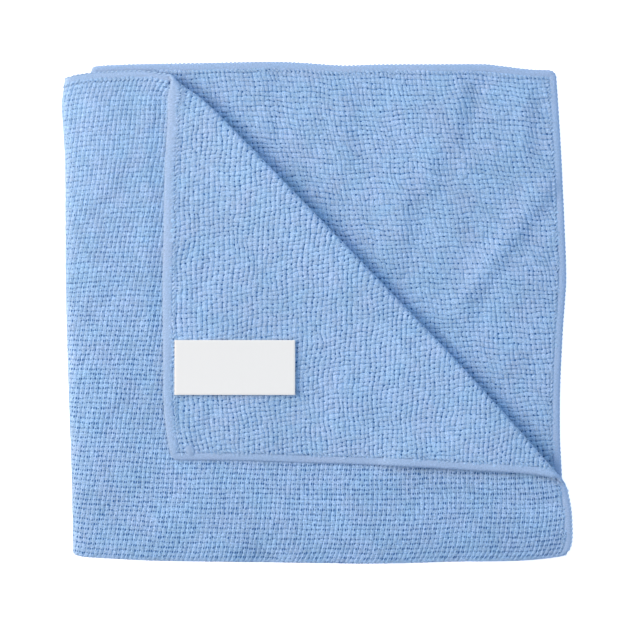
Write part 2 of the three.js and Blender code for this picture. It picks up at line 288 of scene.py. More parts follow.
def fold_in_quarters(s, t):
    """The middle of the sheet at (s, t), before the corner is turned back."""
    first_inward, first_rise = round_fold(t, FIRST_FOLD_RADIUS, FIRST_FOLD_REACH)
    radius = STRIP_RADIUS + first_rise
    second_inward, second_rise = round_fold(s, radius, SECOND_FOLD_REACH)

    upper = t >= 0
    left = np.where(upper, through(OUTER_LEFT_FOLD, t), through(INNER_LEFT_FOLD, t))
    upper_right = np.where(upper, through(TOP_LAYER_RIGHT_HEM, t), through(SECOND_LAYER_RIGHT_HEM, t))
    right = np.where(s >= 0, upper_right, through(HIDDEN_RIGHT_HEM, t))
    bottom = through(BOTTOM_FOLD, np.abs(s))
    upper_top = np.where(upper, through(TOP_LAYER_TOP_HEM, s), through(SECOND_LAYER_TOP_HEM, s))
    lower_top = np.where(upper, through(LOWEST_LAYER_TOP_HEM, s), through(THIRD_LAYER_TOP_HEM, s))
    top = np.where(s >= 0, upper_top, lower_top)

    left = left + HALF_THICKNESS
    bottom = bottom + HALF_THICKNESS
    full_width = radius + HALF_SIDE - SECOND_FOLD_REACH
    full_height = FIRST_FOLD_RADIUS + HALF_SIDE - FIRST_FOLD_REACH
    return np.stack([
        left + second_inward * (right - left) / full_width,
        bottom + first_inward * (top - bottom) / full_height,
        STACK_MIDDLE + second_rise,
    ], axis=-1)


def past_flap_fold(points):
    """How far each point of the top layer lies past the line where the corner starts to turn."""
    return (points[..., :2] - FLAP_FOLD_START) @ FLAP_FOLD_OUT + FLAP_FOLD_RADIUS + HALF_THICKNESS


def turn_corner_back(points):
    """Turns the corner of the top layer back over it, and bows its folded edge."""
    past = past_flap_fold(points)
    turn = np.clip(past / FLAP_FOLD_RADIUS, 0, math.pi)
    on_flap = np.maximum(past - FLAP_TURN_LENGTH, 0)
    from_fold = np.where(past > 0, on_flap, -past)

    along = (points[..., :2] - FLAP_FOLD_START) @ FLAP_FOLD_ALONG
    bow_fade = np.maximum(1 - from_fold / FLAP_BOW_FADE, 0) ** 2
    bow = through(FLAP_BOW, along) * bow_fade
    pressed = 2 / FLAP_FOLD_SQUARENESS
    outward = FLAP_FOLD_RADIUS * np.sin(turn) ** pressed - on_flap - np.maximum(past, 0) + bow

    height = np.sign(np.cos(turn)) * np.abs(np.cos(turn)) ** pressed
    open_rise = FLAP_FOLD_RADIUS * (1 - height)
    settled = 1 - np.exp(-((on_flap / FLAP_SETTLE_LENGTH) ** 2))
    settle = (2 * FLAP_FOLD_RADIUS - LAYER_STEP) * settled
    puff = through(FLAP_PUFF, along) * np.exp(-((from_fold / FLAP_PUFF_LENGTH) ** 2))
    slide = FLAP_START_SLIDE * np.exp(
        -((from_fold / FLAP_SLIDE_REACH) ** 2) - (along / FLAP_SLIDE_FADE) ** 2)

    turned = points.copy()
    turned[..., :2] += outward[..., None] * FLAP_FOLD_OUT + slide[..., None] * FLAP_FOLD_ALONG
    lift = over_ridges(turned, FLAP_RIDGES) * np.minimum(on_flap / FLAP_SETTLE_LENGTH, 1)
    turned[..., 2] += open_rise - settle + puff + lift
    return turned


def over_ridges(points, ridges):
    """The height of all the ridges at each point."""
    return sum(ridge["height"] * np.exp(-(beside_line(points, ridge)[0] ** 2)) for ridge in ridges)


def beside_line(points, line):
    """How far points are from a line, and how far to its left, both as shares of its width."""
    start = np.array(line["from"], float)
    run = np.array(line["to"], float) - start
    offset = points[..., :2] - start
    f = np.clip(offset @ run / (run @ run), 0, 1)
    away = np.linalg.norm(offset - f[..., None] * run, axis=-1)
    left = (run[0] * offset[..., 1] - run[1] * offset[..., 0]) / np.linalg.norm(run)
    return away / line["width"], left / line["width"]


def lift_by_ridges(points):
    """Lifts points by the ridges and creases under them, less the nearer they lie to the table."""
    lift = over_ridges(points, RIDGES)
    for crease in CREASES:
        away, left = beside_line(points, crease)
        lift += crease["drop"] * left * np.exp(-(away ** 2))
    lifted = points.copy()
    lifted[..., 2] += lift * points[..., 2] / STACK_HEIGHT
    return lifted


def is_top_layer(s, t):
    """True where (s, t) is in the layer whose corner is turned back."""
    return (s > SECOND_FOLD_REACH) & (t > FIRST_FOLD_REACH)


def cloth_points(s, t):
    """Where the middle of the sheet at each (s, t) lies in the folded cloth."""
    s, t = round_corners(s, t)
    points = fold_in_quarters(s, t)
    points = np.where(is_top_layer(s, t)[..., None], turn_corner_back(points), points)
    return lift_by_ridges(points)


def off_cloth(s, t, height):
    """Points that stand `height` off the middle of the sheet, towards its outer face."""
    step = 0.01  # mm
    along_s = cloth_points(s + step, t) - cloth_points(s - step, t)
    along_t = cloth_points(s, t + step) - cloth_points(s, t - step)
    normal = np.cross(along_s, along_t)
    normal /= np.linalg.norm(normal, axis=-1, keepdims=True)
    return cloth_points(s, t) + normal * np.asarray(height)[..., None]


# ---- Meshes from arrays ----

# Whatever would hang below the table is pressed flat, at this height.
ABOVE_TABLE = 0.02


def make_piece(name, points, triangles, material, attributes=None, flat_maps=None):
    """A smooth-shaded mesh object from points in mm and rows of three point numbers."""
    points = np.maximum(points, (-np.inf, -np.inf, ABOVE_TABLE))
    mesh = bpy.data.meshes.new(name)
    mesh.vertices.add(len(points))
    mesh.vertices.foreach_set("co", (points * MM).astype(np.float32).ravel())
    mesh.loops.add(triangles.size)
    mesh.loops.foreach_set("vertex_index", triangles.astype(np.int32).ravel())
    mesh.polygons.add(len(triangles))
    mesh.polygons.foreach_set("loop_start", np.arange(0, triangles.size, 3, dtype=np.int32))
    mesh.update(calc_edges=True)
    mesh.validate()
    mesh.shade_smooth()
    for key, values in (attributes or {}).items():
        layer = mesh.attributes.new(key, "FLOAT", "POINT")
        layer.data.foreach_set("value", values.astype(np.float32))
    for key, flat_map in (flat_maps or {}).items():
        uv = mesh.uv_layers.new(name=key)
        uv.data.foreach_set("uv", flat_map[triangles.ravel()].astype(np.float32).ravel())
    mesh.materials.append(material)
    piece = bpy.data.objects.new(name, mesh)
    bpy.context.scene.collection.objects.link(piece)
    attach(piece, "root")
    return piece


def quad_triangles(a, b, c, d):
    """Two triangles for each quad, from the numbers of the points at its corners."""
    return np.concatenate([
        np.stack([a, b, c], axis=-1).reshape(-1, 3),
        np.stack([a, c, d], axis=-1).reshape(-1, 3),
    ])


def grid_triangles(rows, columns, wrap_rows=False, wrap_columns=False):
    """Two triangles for each cell of a grid of points, which may close on itself either way."""
    row = np.arange(rows if wrap_rows else rows - 1)[:, None]
    column = np.arange(columns if wrap_columns else columns - 1)[None, :]
    next_row = (row + 1) % rows
    next_column = (column + 1) % columns
    a = row * columns + column
    b = next_row * columns + column
    c = next_row * columns + next_column
    d = row * columns + next_column
    return quad_triangles(a, b, c, d)


def rim_edges(triangles):
    """The edges that only one triangle has, each in its triangle's direction."""
    edges = np.concatenate([triangles[:, [0, 1]], triangles[:, [1, 2]], triangles[:, [2, 0]]])
    keys = edges[:, 0] * (edges.max() + 1) + edges[:, 1]
    back = edges[:, 1] * (edges.max() + 1) + edges[:, 0]
    return edges[~np.isin(keys, back)]


def closed_sheet(triangles, count):
    """A thin closed sheet: one face of `count` points, the same face turned over, and the rim."""
    start, end = rim_edges(triangles).T
    sides = quad_triangles(start, start + count, end + count, end)
    return np.concatenate([triangles, triangles[:, ::-1] + count, sides])


# ---- Materials ----

# Colours, as linear red, green and blue. Where there are two, the surface varies between them.
OUTER_BLUE = (0.27, 0.435, 0.69)
INNER_BLUE = (0.287, 0.45, 0.70)
REDDER_PATCHES = 1.12
# Shade painted into the knit: darker in the grooves between loops, nearly black in the holes.
GROOVE_SHADE_BLUE = (0.06, 0.225, 0.56)
HOLE_SHADE_BLUE = (0.002, 0.08, 0.29)
# The ground is painted dark, as the shade under and between the loops.
GROUND_SHADE_BLUES = (0.04, 0.12, 0.28), (0.08, 0.19, 0.40)
HEM_BLUES = (0.28, 0.41, 0.65), (0.31, 0.42, 0.65)
# Shade painted along the groove at the hem's inner edge.
HEM_GROOVE_SHADE_BLUE = (0.22, 0.355, 0.60)
STITCH_BLUES = (0.26, 0.40, 0.62), (0.33, 0.46, 0.67)
LABEL_WHITES = (0.635, 0.635, 0.655), (0.70, 0.695, 0.715)
# The least and the most that a colour is multiplied by: over the soft lie of the pile, from loop to
# loop, and over the strands of the yarn and of the hem's thread.
PILE_SHADES = (0.94, 1.06)
LOOP_SHADES = (0.93, 1.07)
YARN_SHADES = (0.73, 1.24)
HEM_SHADES = (0.78, 1.14)
# Soft noise lies mostly in this range.
NOISE_RANGE = (0.3, 0.7)
FULL_RANGE = (0, 1)

# The holes between loops, painted dark as shade: how many there are to a loop, their half width and
# half height as shares of a wale and a course, how their sizes vary, and how open they are at the top
# of the folded cloth.
OUTER_HOLES = {"to_a_loop": 2, "width": 0.12, "height": 0.22, "size": (0.45, 1.6), "at_top": 0.7}
INNER_HOLES = {"to_a_loop": 1, "width": 0.19, "height": 0.2, "size": (0.1, 1.2), "at_top": 0.95}
HOLE_SHIFT = (0.3, 0.2, 0)
HOLE_CORE = 0.6
HOLES_CLOSE_BETWEEN = (-20 * MM, 60 * MM)
# How many strands show across a loop and along it, and across a wrap of the hem and along it.
OUTER_STREAKS = (4, 3, 1)
INNER_STREAKS = (4, 4, 1)
HEM_STREAKS = (5, 1.3, 1)
# From the hem's thread to painted shade in the groove beside it, by the distance from the cloth's edge.
HEM_GROOVE_SHADE_BETWEEN = (2.75, 3.1)
# From painted shade in the groove to yarn, by the height on a loop, from 0 at its lowest point to 1 at
# its highest.
GROOVE_SHADE_HEIGHTS = (0.05, 0.85)


def fill(tree, socket, value):
    """Links another socket to a socket, or sets its value."""
    if isinstance(value, bpy.types.NodeSocket):
        tree.links.new(value, socket)
    else:
        socket.default_value = value


def add_node(tree, kind, **sockets):
    """A shader node with its sockets linked or set, by name."""
    made = tree.nodes.new(kind)
    for name, value in sockets.items():
        fill(tree, made.inputs[name.replace("_", " ")], value)
    return made


def arithmetic(tree, kind, operation, values, result):
    """The result of a node that does one step of arithmetic."""
    made = tree.nodes.new(kind)
    made.operation = operation
    for socket, value in zip(made.inputs, values):
        fill(tree, socket, value)
    return made.outputs[result]


def calculated(tree, operation, *values):
    """One step of arithmetic on numbers."""
    return arithmetic(tree, "ShaderNodeMath", operation, values, "Value")


def combined(tree, operation, *values, result="Vector"):
    """One step of arithmetic on vectors."""
    return arithmetic(tree, "ShaderNodeVectorMath", operation, values, result)


def scaled(tree, colour, factor):
    """A colour made brighter or darker by a factor."""
    made = tree.nodes.new("ShaderNodeVectorMath")
    made.operation = "SCALE"
    fill(tree, made.inputs[0], colour)
    fill(tree, made.inputs["Scale"], factor)
    return made.outputs["Vector"]


def ranged(tree, value, source, target):
    """A value moved from one range to another, and kept inside it."""
    made = add_node(tree, "ShaderNodeMapRange", Value=value, From_Min=source[0],
                    From_Max=source[1], To_Min=target[0], To_Max=target[1])
    return made.outputs["Result"]


def mixed(tree, share, first, second):
    """A colour that goes from the first to the second as `share` goes from 0 to 1."""
    made = tree.nodes.new("ShaderNodeMix")
    made.data_type = "RGBA"
    fill(tree, made.inputs[0], share)
    for socket, colour in ((made.inputs[6], first), (made.inputs[7], second)):
        fill(tree, socket, (*colour, 1) if isinstance(colour, tuple) else colour)
    return made.outputs[2]


def noise(tree, place, scale, detail):
    """Soft noise."""
    made = add_node(tree, "ShaderNodeTexNoise", Vector=place, Scale=scale, Detail=detail)
    return made.outputs["Fac"]


def object_place(tree):
    """A point's place on the object, in metres."""
    return tree.nodes.new("ShaderNodeTexCoord").outputs["Object"]


def flat_place(tree, name, scale=(1, 1, 1)):
    """A point's place on one of its piece's flat maps, scaled along each axis."""
    flat_map = tree.nodes.new("ShaderNodeUVMap")
    flat_map.uv_map = name
    made = add_node(tree, "ShaderNodeMapping", Vector=flat_map.outputs["UV"], Scale=scale)
    return made.outputs["Vector"]


def of_point(tree, name):
    """A number that the piece's points carry."""
    made = tree.nodes.new("ShaderNodeAttribute")
    made.attribute_name = name
    return made.outputs["Fac"]


def component(tree, vector, number):
    """One of a vector's three numbers."""
    return add_node(tree, "ShaderNodeSeparateXYZ", Vector=vector).outputs[number]


def cloth_material(name, roughness, sheen=0.1, sheen_roughness=0.5):
    """A new material with a fabric's gloss, its node tree and its shader."""
    material = bpy.data.materials.new(name)
    material.use_nodes = True
    tree = material.node_tree
    shader = tree.nodes["Principled BSDF"]
    shader.inputs["Roughness"].default_value = roughness
    shader.inputs["Specular IOR Level"].default_value = 0.25
    shader.inputs["Sheen Weight"].default_value = sheen
    shader.inputs["Sheen Roughness"].default_value = sheen_roughness
    return material, tree, shader


def finish_material(tree, shader, colour, relief, strength, depth):
    """Gives the shader its colour, and a bump of some depth in mm."""
    tree.links.new(colour, shader.inputs["Base Color"])
    bump = add_node(tree, "ShaderNodeBump", Height=relief, Strength=strength, Distance=depth * MM)
    tree.links.new(bump.outputs["Normal"], shader.inputs["Normal"])


def between_loops(tree, cells, place, holes):
    """Where shade is painted into the holes: from 0 in the small holes between loops to 1 on the loops,
    by the place in the lattice.

    Each hole has its own size and stands a little off its place.
    """
    in_lattice = combined(tree, "MULTIPLY", cells, (holes["to_a_loop"], 1, 1))
    nearest = combined(tree, "FLOOR", combined(tree, "ADD", in_lattice, (0.5, 0.5, 0)))
    chance = add_node(tree, "ShaderNodeTexWhiteNoise", Vector=nearest)
    shift = combined(tree, "SUBTRACT", chance.outputs["Color"], (0.5, 0.5, 0.5))
    shift = combined(tree, "MULTIPLY", shift, HOLE_SHIFT)
    offset = combined(tree, "SUBTRACT", in_lattice, nearest)
    offset = combined(tree, "SUBTRACT", offset, shift)
    reach = (holes["width"] * holes["to_a_loop"], holes["height"], 1)
    distance = combined(tree, "LENGTH", combined(tree, "DIVIDE", offset, reach), result="Value")

    openness = ranged(tree, component(tree, place, 1), HOLES_CLOSE_BETWEEN, (1, holes["at_top"]))
    size = ranged(tree, chance.outputs["Value"], FULL_RANGE, holes["size"])
    size = calculated(tree, "MULTIPLY", size, openness)
    return ranged(tree, calculated(tree, "DIVIDE", distance, size), (HOLE_CORE, 1), FULL_RANGE)


def knit_material(name, base, holes, streaks):
    """Microfibre yarn: pale loops that vary one by one and in soft patches, with shade painted dark
    into the grooves and holes between.
    """
    material, tree, shader = cloth_material(name, roughness=0.9, sheen=0.3)
    place = object_place(tree)
    cells = flat_place(tree, "cells")

    patches = ranged(tree, noise(tree, place, scale=100, detail=4), (0.35, 0.65), FULL_RANGE)
    colour = mixed(tree, patches, base, (base[0] * REDDER_PATCHES, base[1], base[2]))
    pile = noise(tree, place, scale=45, detail=1)
    colour = scaled(tree, colour, ranged(tree, pile, NOISE_RANGE, PILE_SHADES))
    colour = scaled(tree, colour, ranged(tree, of_point(tree, "tint"), FULL_RANGE, LOOP_SHADES))
    strands = noise(tree, flat_place(tree, "cells", streaks), scale=1, detail=2)
    colour = scaled(tree, colour, ranged(tree, strands, NOISE_RANGE, YARN_SHADES))

    # Painted shade: the lower a point lies on its loop, the more of the dark groove colour it takes.
    height = ranged(tree, of_point(tree, "depth"), GROOVE_SHADE_HEIGHTS, FULL_RANGE)
    colour = mixed(tree, height, GROOVE_SHADE_BLUE, colour)
    # Painted shade: the holes between loops, nearly black.
    colour = mixed(tree, between_loops(tree, cells, place, holes), HOLE_SHADE_BLUE, colour)

    tufts = noise(tree, place, scale=1300, detail=1)
    relief = calculated(tree, "ADD", strands, tufts)
    finish_material(tree, shader, colour, relief, strength=1, depth=0.32)
    return material


def ground_material():
    """The knit's ground, painted dark as the shade between the loops."""
    material, tree, shader = cloth_material("knit_ground", roughness=0.95)
    yarn = noise(tree, object_place(tree), scale=900, detail=3)
    colour = mixed(tree, ranged(tree, yarn, NOISE_RANGE, FULL_RANGE), *GROUND_SHADE_BLUES)
    finish_material(tree, shader, colour, yarn, strength=0.6, depth=0.15)
    return material


def hem_material():
    """Overlock thread: smoother and paler than the knit, with fine strands across the hem and shade
    painted in its inner groove.

    Its flat map gives the number of the wrap and the distance from the cloth's edge in millimetres.
    """
    material, tree, shader = cloth_material("hem_thread", roughness=0.85)
    patches = noise(tree, object_place(tree), scale=55, detail=2)
    colour = mixed(tree, ranged(tree, patches, NOISE_RANGE, FULL_RANGE), *HEM_BLUES)
    strands = noise(tree, flat_place(tree, "flat", HEM_STREAKS), scale=1, detail=2)
    colour = scaled(tree, colour, ranged(tree, strands, NOISE_RANGE, HEM_SHADES))
    from_edge = component(tree, flat_place(tree, "flat"), 1)
    # Painted shade along the groove at the hem's inner edge.
    groove_shade = ranged(tree, from_edge, HEM_GROOVE_SHADE_BETWEEN, (1, 0))
    colour = mixed(tree, groove_shade, HEM_GROOVE_SHADE_BLUE, colour)
    finish_material(tree, shader, colour, strands, strength=0.8, depth=0.27)
    return material


def stitch_material():
    """The hem's thread where it shows as single stitches."""
    material, tree, shader = cloth_material("stitch_thread", roughness=0.85)
    twist = noise(tree, object_place(tree), scale=1500, detail=2)
    colour = mixed(tree, ranged(tree, twist, NOISE_RANGE, FULL_RANGE), *STITCH_BLUES)
    finish_material(tree, shader, colour, twist, strength=0.5, depth=0.08)
    return material


def label_material():
    """White ribbon with a fine close weave."""
    material, tree, shader = cloth_material("label_ribbon", roughness=0.55, sheen=0.15,
                                            sheen_roughness=0.3)
    threads = []
    for direction, scale in (("X", 700), ("Y", 1100)):
        wave = add_node(tree, "ShaderNodeTexWave", Vector=flat_place(tree, "flat"), Scale=scale,
                        Distortion=0.6)
        wave.bands_direction = direction
        threads.append(wave.outputs["Fac"])
    weave = calculated(tree, "ADD", *threads)
    colour = mixed(tree, ranged(tree, weave, (0, 2), FULL_RANGE), *LABEL_WHITES)
    finish_material(tree, shader, colour, weave, strength=0.15, depth=0.03)
    return material


# ---- The ground of the knit: one closed folded sheet ----

def ground_lines(reach):
    """Grid lines in one direction of the flat cloth, close together where it folds."""
    fold = np.linspace(0, reach, FOLD_STEPS)
    edge = HALF_SIDE - GROUND_EDGE_INSET
    flat = np.linspace(reach, edge, math.ceil((edge - reach) / GROUND_CELL))
    half = np.concatenate([fold, flat[1:]])
    return np.concatenate([-half[:0:-1], half])


def flat_ground():
    """The flat sheet's points (s, t) and its triangles, with extra cuts where the corner turns."""
    columns = ground_lines(SECOND_FOLD_REACH)
    rows = ground_lines(FIRST_FOLD_REACH)
    s, t = np.meshgrid(columns, rows, indexing="ij")
    sheet = bmesh.new()
    corners = [sheet.verts.new((a, b, 0)) for a, b in zip(s.ravel(), t.ravel())]
    for i in range(len(columns) - 1):
        for j in range(len(rows) - 1):
            a = i * len(rows) + j
            b = a + len(rows)
            sheet.faces.new((corners[a], corners[b], corners[b + 1], corners[a + 1]))

    # The line where the corner starts to turn runs from a place on the top hem to one on the right.
    places = np.linspace(SECOND_FOLD_REACH, HALF_SIDE, FLAP_SEARCH_PLACES)
    edge = np.full_like(places, HALF_SIDE)
    on_top_hem = places[np.argmin(np.abs(past_flap_fold(fold_in_quarters(places, edge))))]
    on_right_hem = places[np.argmin(np.abs(past_flap_fold(fold_in_quarters(edge, places))))]
    run = np.array([HALF_SIDE - on_top_hem, on_right_hem - HALF_SIDE])
    across = np.array([-run[1], run[0]]) / np.linalg.norm(run)
    cuts = np.arange(-FLAP_CUT_MARGIN, FLAP_TURN_LENGTH + FLAP_CUT_MARGIN, FLAP_CUT_SPACING)
    for cut in cuts:
        through_point = np.array([on_top_hem, HALF_SIDE]) + across * cut
        everything = sheet.verts[:] + sheet.edges[:] + sheet.faces[:]
        bmesh.ops.bisect_plane(sheet, geom=everything, dist=FLAP_CUT_SNAP,
                               plane_co=(*through_point, 0), plane_no=(*across, 0))
    bmesh.ops.triangulate(sheet, faces=sheet.faces[:])
    sheet.verts.index_update()
    flat = np.array([vert.co[:2] for vert in sheet.verts])
    triangles = np.array([[vert.index for vert in face.verts] for face in sheet.faces])
    sheet.free()
    return flat, triangles


def make_ground(material):
    """The sheet that carries the loops: two faces and a rim, folded as the cloth is."""
    flat, triangles = flat_ground()
    count = len(flat)
    faces = [off_cloth(flat[:, 0], flat[:, 1], np.full(count, side * GROUND_HALF_THICKNESS))
             for side in (1, -1)]
    return make_piece("cloth_ground", np.concatenate(faces), closed_sheet(triangles, count),
                      material)


# ---- The loops of the knit ----

# Each loop is one cell of the lattice of wales and courses. Its points lie on the wale line, near it
# and midway, and likewise from the course line. Each table gives their heights off the middle of the
# sheet: a row for each place across the wale, with a value on the course line, near it and midway.
# The lowest point is where both lines cross, between four loops.
NEAR_LINE = 0.12
FINE_CELL = {"points": [0, NEAR_LINE, 0.5, 1 - NEAR_LINE], "rows": [0, 1, 2, 1]}
COARSE_CELL = {"points": [0, 0.5], "rows": [0, 2]}
INNER_LOOP = {
    "on_wale_line": [0.20, 0.44, 0.48],
    "near_wale_line": [0.40, 0.65, 0.70],
    "mid_wale": [0.45, 0.70, 0.76],
}
OUTER_LOOP = {
    "on_wale_line": [0.26, 0.50, 0.55],
    "near_wale_line": [0.60, 0.68, 0.72],
    "mid_wale": [0.67, 0.71, 0.75],
}
# How far the loops wander from their places: slowly, by course, and each by itself. The lines
# between wales and between courses are drawn in by a different depth at each loop, in these ranges,
# and each loop stands a little higher or lower.
INNER_UNEVENNESS = {
    "wander": 0.34, "by_course": 0.14, "jitter": 0.17,
    "wale_line": (-0.13, 0.14), "course_line": (-0.13, 0.19),
}
OUTER_UNEVENNESS = {
    "wander": 0.16, "by_course": 0.06, "jitter": 0.06,
    "wale_line": (-0.06, 0.16), "course_line": (-0.05, 0.12),
}
LOOP_LEVEL = 0.03
LOOP_FOOT = GROUND_HALF_THICKNESS - 0.05
LOOP_TOP = HALF_THICKNESS
# The lengths of the slow waves that move the loops, in mm: over the cloth, and along a course.
WANDER_LENGTHS = (10, 45)
COURSE_WAVE_LENGTHS = (14, 40)


def wander(random, s, t, size, waves=10):
    """A smooth uneven field over the flat cloth, from a few long waves in all directions."""
    field = np.zeros_like(s)
    for _ in range(waves):
        angle = random.uniform(0, 2 * math.pi)
        length = random.uniform(*WANDER_LENGTHS)
        phase = random.uniform(0, 2 * math.pi)
        field += np.sin(2 * math.pi * (s * math.cos(angle) + t * math.sin(angle)) / length + phase)
    return field * size / math.sqrt(waves / 2)


def lattice(s_range, t_range):
    """The crossings of the wale and course lines that cover a part of the flat cloth."""
    lean = sorted(WALE_LEAN * t for t in t_range)
    first_wale = math.floor((s_range[0] - lean[1]) / WALE_PITCH)
    last_wale = math.ceil((s_range[1] - lean[0]) / WALE_PITCH)
    first_course = math.floor(t_range[0] / COURSE_PITCH)
    last_course = math.ceil(t_range[1] / COURSE_PITCH)
    wale, course = np.meshgrid(np.arange(first_wale, last_wale + 1),
                               np.arange(first_course, last_course + 1), indexing="ij")
    t = course * COURSE_PITCH
    return wale, course, wale * WALE_PITCH + WALE_LEAN * t, t


def unsettle(random, s, t, unevenness):
    """Moves the crossings as unevenly as a soft knit lies."""
    courses = s.shape[1]
    length = random.uniform(*COURSE_WAVE_LENGTHS, courses)
    phase = random.uniform(0, 2 * math.pi, courses)
    by_course = unevenness["by_course"] * np.sin(2 * math.pi * s / length + phase)
    moved = []
    for place in (s, t + by_course):
        slow = wander(random, s, t, unevenness["wander"])
        moved.append(place + slow + random.normal(0, unevenness["jitter"], s.shape))
    return moved


def across_cells(corners, cell):
    """Values at every point of every cell, from those at the lattice's crossings."""
    f = np.array(cell["points"])[None, :, None, None]
    g = np.array(cell["points"])[None, None, None, :]
    a = corners[:-1, None, :-1, None]
    b = corners[1:, None, :-1, None]
    c = corners[:-1, None, 1:, None]
    d = corners[1:, None, 1:, None]
    return a * (1 - f) * (1 - g) + b * f * (1 - g) + c * (1 - f) * g + d * f * g


def make_knit_face(name, random, side, s_range, t_range, keep, loop, unevenness, material,
                   cell=FINE_CELL):
    """The loops on one face of the ground, joined at their edges, wherever `keep` is true."""
    wale, course, corner_s, corner_t = lattice(s_range, t_range)
    kept = keep(corner_s[:-1, :-1] + WALE_PITCH / 2, corner_t[:-1, :-1] + COURSE_PITCH / 2)
    corner_s, corner_t = unsettle(random, corner_s, corner_t, unevenness)
    s = across_cells(corner_s, cell)
    t = across_cells(corner_t, cell)
    cells = kept.shape
    rows = cell["rows"]
    n = len(rows)

    table = np.array(list(loop.values()))
    height = np.broadcast_to(table[np.ix_(rows, rows)][None, :, None, :], s.shape).copy()
    wale_line, course_line = [
        low + (high - low) * random.random(cells) ** 2
        for low, high in (unevenness["wale_line"], unevenness["course_line"])
    ]
    height[:, 0, :, 0] -= np.maximum(wale_line, course_line)
    height[:, 0, :, 1:] -= wale_line[:, :, None]
    height[:, 1:, :, 0] -= course_line[:, None, :]
    height[:, 1:, :, 1:] += random.normal(0, LOOP_LEVEL, cells)[:, None, :, None]
    # How high each point stands on its loop, from 0 to 1; the material paints shade into the low parts
    # by it.
    depth = (height - table.min()) / (table.max() - table.min())

    # A point on a line between loops goes down to the ground where a loop beside it is left out.
    beside = np.pad(kept, ((1, 0), (1, 0)))
    whole_s = beside[:-1, 1:] & beside[1:, 1:]
    whole_t = beside[1:, :-1] & beside[1:, 1:]
    whole = whole_s & whole_t & beside[:-1, :-1]
    height[:, 0, :, 0][~whole] = LOOP_FOOT
    height[:, 0, :, 1:][~whole_s] = LOOP_FOOT
    height[:, 1:, :, 0][~whole_t[:, None, :].repeat(n - 1, axis=1)] = LOOP_FOOT
    tint = np.broadcast_to(random.uniform(0, 1, cells)[:, None, :, None], s.shape)

    # A cell's quads reach into the next cell's first row of points.
    number = np.arange(s.size).reshape(cells[0] * n, cells[1] * n)
    a, b, c, d = number[:-1, :-1], number[1:, :-1], number[1:, 1:], number[:-1, 1:]
    used = np.repeat(np.repeat(kept, n, axis=0), n, axis=1)[:-1, :-1]
    triangles = quad_triangles(a[used], b[used], c[used], d[used])
    if side < 0:
        triangles = triangles[:, ::-1]
    numbers, triangles = np.unique(triangles, return_inverse=True)
    triangles = triangles.reshape(-1, 3)
    height = np.clip(height, LOOP_FOOT, LOOP_TOP).ravel()[numbers]
    points = off_cloth(s.ravel()[numbers], t.ravel()[numbers], side * height)
    place = [across_cells(number, cell).ravel()[numbers] for number in (wale, course)]
    return make_piece(name, points, triangles, material, attributes={
        "tint": tint.ravel()[numbers],
        "depth": depth.ravel()[numbers],
    }, flat_maps={"cells": np.stack(place, axis=-1)})


# ---- The overlocked hem ----

def hem_width(side, along):
    """The hem's width on each side of the cloth, from -1 at the side's start to 1 at its end."""
    from_corner = (1 + along) * HALF_SIDE / HEM_WIDTH
    from_end = (HEM_WIDE_UNTIL - along) / HEM_NARROWS_IN
    share = np.clip(np.minimum(from_corner, from_end), 0, 1)
    return HEM_WIDTH + HEM_EXTRA_WIDTH * np.where(side == HEM_WIDE_SIDE, share, 0)


def round_the_edge(side, outward, onward):
    """Places on the flat cloth, from how far they lie out from its centre and along their side."""
    on_side = [(side == k)[:, None] for k in range(4)]
    s = np.select(on_side, [outward, -onward, -outward, onward])
    t = np.select(on_side, [onward, outward, -onward, -outward])
    return s.ravel(), t.ravel()


def make_hem(material):
    """A rounded band of thread wrapped round the whole edge, one rib for each wrap."""
    steps = HEM_WRAPS * HEM_WRAP_STEPS
    place = np.arange(4 * steps)
    side = place // steps
    along = 2 * (place % steps) / steps - 1
    turn = 2 * math.pi * np.arange(HEM_RING_POINTS) / HEM_RING_POINTS
    reach = np.sign(np.cos(turn)) * np.abs(np.cos(turn)) ** (2 / HEM_SQUARENESS)
    rise = np.sign(np.sin(turn)) * np.abs(np.sin(turn)) ** (2 / HEM_SQUARENESS)

    rib = np.cos(2 * math.pi * place / HEM_WRAP_STEPS)[:, None]
    outer_share = (1 + reach) / 2
    width = hem_width(side, along)[:, None]
    inset = width / 2 * (1 - reach) - HEM_SCALLOP * rib * outer_share
    height = HEM_HALF_HEIGHT * rise * (1 + HEM_RIB_SWELL * rib)
    outward = HALF_SIDE - inset
    s, t = round_the_edge(side, outward, along[:, None] * outward)
    points = off_cloth(s, t, height.ravel())
    triangles = grid_triangles(len(place), HEM_RING_POINTS, wrap_rows=True, wrap_columns=True)
    wrap = np.repeat(place[:, None] / HEM_WRAP_STEPS, HEM_RING_POINTS, axis=1)
    across = inset * HEM_WIDTH / width * np.ones_like(wrap)
    flat_map = np.stack([wrap.ravel(), across.ravel()], axis=-1)
    return make_piece("cloth_hem", points, triangles, material,
                      flat_maps={"flat": flat_map})


def capsule():
    """A slim capsule of unit half length and radius: its length, its two widths and its skin."""
    rings = np.array([-1, -0.8, 0, 0.8, 1])
    girth = np.array([0.25, 0.8, 1, 0.8, 0.25])
    turn = 2 * math.pi * np.arange(STITCH_SIDES) / STITCH_SIDES
    skin = grid_triangles(len(rings), len(turn), wrap_columns=True)
    last = (len(rings) - 1) * len(turn)
    first_end = [(0, k, k + 1) for k in range(1, len(turn) - 1)]
    last_end = [(last, last + k + 1, last + k) for k in range(1, len(turn) - 1)]
    lengthwise = np.repeat(rings, len(turn))
    sideways = np.outer(girth, np.cos(turn)).ravel()
    upward = np.outer(girth, np.sin(turn)).ravel()
    return lengthwise, sideways, upward, np.concatenate([skin[:, ::-1], first_end, last_end])


